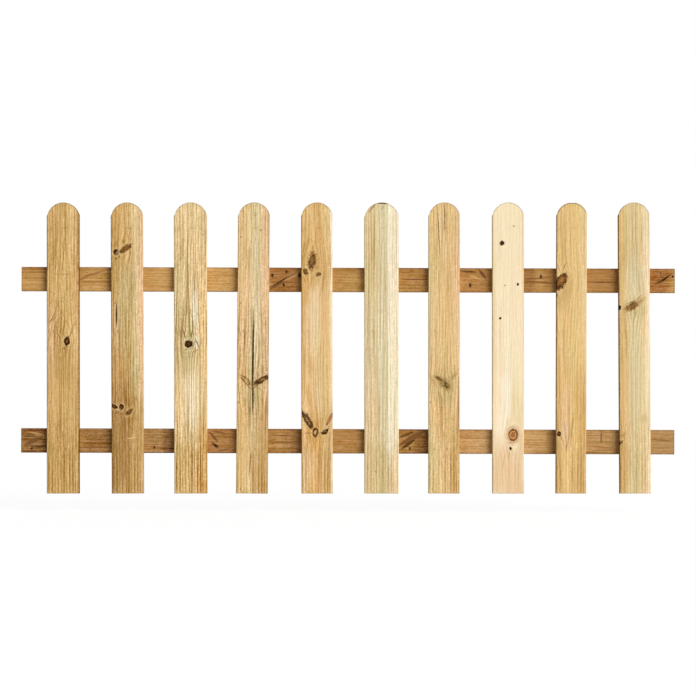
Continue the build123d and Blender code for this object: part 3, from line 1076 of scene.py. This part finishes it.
def add_nail_head(mesh, x, y, z):
    """A flat round head with an eased rim, facing +Y."""
    rings = []
    for reach, stand in NAIL_PROFILE:
        ring = []
        for side in range(NAIL_SIDES):
            turn = 2 * pi * side / NAIL_SIDES
            across = NAIL_HEAD_RADIUS * reach * cos(turn)
            upward = NAIL_HEAD_RADIUS * reach * sin(turn)
            ring.append(mesh.verts.new((x + across, y + NAIL_HEAD_STAND * stand, z + upward)))
        rings.append(ring)
    for outer, inner in zip(rings, rings[1:]):
        for side in range(NAIL_SIDES):
            after = (side + 1) % NAIL_SIDES
            mesh.faces.new((outer[side], inner[side], inner[after], outer[after]))
    mesh.faces.new(reversed(rings[-1]))
    mesh.faces.new(rings[0])


def make_nails(rail, material):
    """All the nail heads of one rail as one piece."""
    low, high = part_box(rail)
    middle = (low.z + high.z) / 2
    mesh = bmesh.new()
    for number in range(1, len(PALES) + 1):
        left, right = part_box(f"pale_{number:02d}")
        x = (left.x + right.x) / 2
        slant = 1 if number % 2 else -1
        for side in (-1, 1):
            z = middle + side * slant * NAIL_SPREAD_UP
            add_nail_head(mesh, x + side * NAIL_SPREAD_ACROSS, high.y, z)
    bmesh.ops.recalc_face_normals(mesh, faces=mesh.faces)
    data = bpy.data.meshes.new(f"{rail}_nails")
    mesh.to_mesh(data)
    mesh.free()
    data.materials.append(material)
    nails = bpy.data.objects.new(f"{rail}_nails", data)
    bpy.context.scene.collection.objects.link(nails)
    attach(nails, "root")


# Studio: a white floor just below the pales, a white surround and soft daylight from the front right
FLOOR_DROP = 0.05
FLOOR_SIZE = 14.0
FLOOR_TONE = (0.6, 0.6, 0.6, 1.0)
FLOOR_GLOW = 1.08
FLOOR_GLOW_SHARE = 0.85  # how much of what the camera sees of the floor glows; the rest takes shadow
SURROUND_LIGHT = 0.29
SURROUND_LEAN = 0.16  # how much more light the surround gives from the right than from ahead
KEY_STRENGTH = 2.95
KEY_SOFTNESS = 40.0
KEY_ELEVATION = 30.0
KEY_FROM_RIGHT = 39.0
BACK_STRENGTH = 1.0
BACK_SOFTNESS = 60.0
BACK_ELEVATION = 35.0
BACK_FROM_RIGHT = 165.0


def add_sun(name, strength, softness, elevation, azimuth):
    """A soft sun. Azimuth is measured from the front, to the right."""
    data = bpy.data.lights.new(name, "SUN")
    data.energy = strength
    data.angle = radians(softness)
    sun = bpy.data.objects.new(name, data)
    sun.rotation_euler = (radians(90 - elevation), 0.0, radians(azimuth))
    bpy.context.scene.collection.objects.link(sun)


def make_surround():
    """A world that is white to the camera and in reflections, and lights the panel more from the right."""
    world = bpy.data.worlds.new("surround")
    bpy.context.scene.world = world
    world.use_nodes = True
    tree = world.node_tree
    seen = tree.nodes.new("ShaderNodeLightPath")
    direct = Wire(tree, seen.outputs["Is Camera Ray"])
    for kind in ("Is Glossy Ray", "Is Transmission Ray"):
        direct = direct.math("MAXIMUM", Wire(tree, seen.outputs[kind]))
    where = tree.nodes.new("ShaderNodeTexCoord")
    to_right = split(tree, Wire(tree, where.outputs["Generated"]))[0]
    given = to_right * SURROUND_LEAN + SURROUND_LIGHT
    strength = given + direct * ((given * -1.0) + 1.0)
    background = tree.nodes["Background"]
    background.inputs["Color"].default_value = (1.0, 1.0, 1.0, 1.0)
    feed(tree, background.inputs["Strength"], strength)


def make_floor():
    """A pale floor that reads as white to the camera and keeps a light shadow of the panel."""
    foot = min(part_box(f"pale_{number:02d}")[0].z for number in range(1, len(PALES) + 1))
    half = FLOOR_SIZE / 2
    data = bpy.data.meshes.new("floor")
    corners = [(-half, -half), (half, -half), (half, half), (-half, half)]
    data.from_pydata([(x, y, foot - FLOOR_DROP) for x, y in corners], [], [(0, 1, 2, 3)])
    floor = bpy.data.objects.new("floor", data)
    bpy.context.scene.collection.objects.link(floor)
    material = bpy.data.materials.new("floor_white")
    material.use_nodes = True
    tree = material.node_tree
    tree.nodes.clear()
    diffuse = tree.nodes.new("ShaderNodeBsdfDiffuse")
    diffuse.inputs["Color"].default_value = FLOOR_TONE
    white = tree.nodes.new("ShaderNodeEmission")
    white.inputs["Strength"].default_value = FLOOR_GLOW
    seen = tree.nodes.new("ShaderNodeLightPath")
    mix = tree.nodes.new("ShaderNodeMixShader")
    feed(tree, mix.inputs[0], Wire(tree, seen.outputs["Is Camera Ray"]) * FLOOR_GLOW_SHARE)
    tree.links.new(diffuse.outputs[0], mix.inputs[1])
    tree.links.new(white.outputs[0], mix.inputs[2])
    output = tree.nodes.new("ShaderNodeOutputMaterial")
    tree.links.new(mix.outputs[0], output.inputs["Surface"])
    data.materials.append(material)
    floor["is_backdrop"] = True


# Camera: square on to the panel and far off, with the panel's middle at the middle of the picture.
# The picture stands upright with the pales, so the rails fall a little to the right in it.
CAMERA_DISTANCE = 8.0
SENSOR_WIDTH = 36.0
PICTURE_WIDTH = 1.9131  # what the picture spans at the pales' front faces


def make_camera():
    """The camera of the photo."""
    low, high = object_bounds()
    data = bpy.data.cameras.new("camera")
    data.sensor_width = SENSOR_WIDTH
    data.lens = SENSOR_WIDTH * CAMERA_DISTANCE / PICTURE_WIDTH
    data.clip_end = 100.0
    camera = bpy.data.objects.new("camera", data)
    camera.location = (0.0, low[1] - CAMERA_DISTANCE, (low[2] + high[2]) / 2)
    camera.rotation_euler = (radians(90), radians(ROW_ANGLE), 0.0)
    bpy.context.scene.collection.objects.link(camera)
    bpy.context.scene.camera = camera


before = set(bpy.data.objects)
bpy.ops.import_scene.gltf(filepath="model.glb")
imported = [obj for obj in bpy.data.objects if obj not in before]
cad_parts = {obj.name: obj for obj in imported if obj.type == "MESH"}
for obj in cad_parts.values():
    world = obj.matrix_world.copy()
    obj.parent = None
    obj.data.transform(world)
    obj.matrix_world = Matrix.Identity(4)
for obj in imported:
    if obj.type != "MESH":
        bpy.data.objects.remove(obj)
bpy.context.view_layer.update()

for number, board in enumerate(PALES, start=1):
    dress_board(f"pale_{number:02d}", board, False)
dress_board("lower_rail", LOWER_RAIL, True)
dress_board("upper_rail", UPPER_RAIL, True)
steel = galvanised_steel()
make_nails("lower_rail", steel)
make_nails("upper_rail", steel)

make_surround()
make_floor()
add_sun("key", KEY_STRENGTH, KEY_SOFTNESS, KEY_ELEVATION, KEY_FROM_RIGHT)
add_sun("back_fill", BACK_STRENGTH, BACK_SOFTNESS, BACK_ELEVATION, BACK_FROM_RIGHT)
make_camera()
bpy.context.scene.view_settings.view_transform = "Standard"
